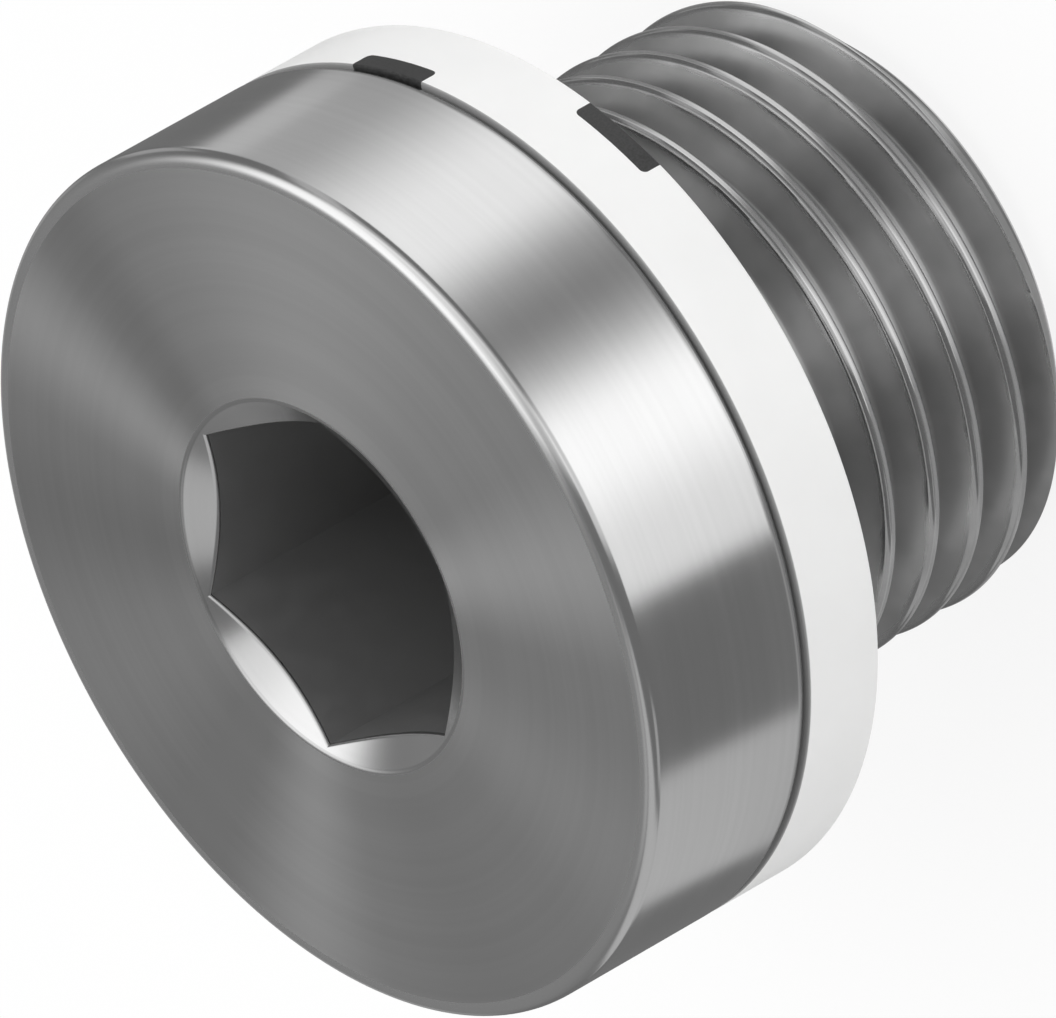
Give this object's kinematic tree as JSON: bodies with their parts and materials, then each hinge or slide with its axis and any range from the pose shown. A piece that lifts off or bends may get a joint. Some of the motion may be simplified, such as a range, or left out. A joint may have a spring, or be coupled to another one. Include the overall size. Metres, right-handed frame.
{
  "type": "blanking plug",
  "caption": "Screw-in plug that closes a threaded port: round flanged head with a hexagon socket, parallel pipe thread and a captive sealing ring under the head.",
  "frame": {"origin": "centre of the flat thread end, the face that the plug stands on", "axes": "+Z along the plug's axis from the thread end to the head; +X at azimuth 0, azimuths counter-clockwise seen from the head"},
  "size_m": [0.014, 0.014, 0.011],
  "materials": {
    "plated_metal": "turned, bright nickel plated",
    "carrier_plastic": "moulded, pale, fine matt",
    "seal_rubber": "moulded, black, matt"
  },
  "bodies": {
    "root": {"plug_body": "plated_metal", "ring_carrier": "carrier_plastic", "ring_seal": "seal_rubber"}
  },
  "joints": []
}
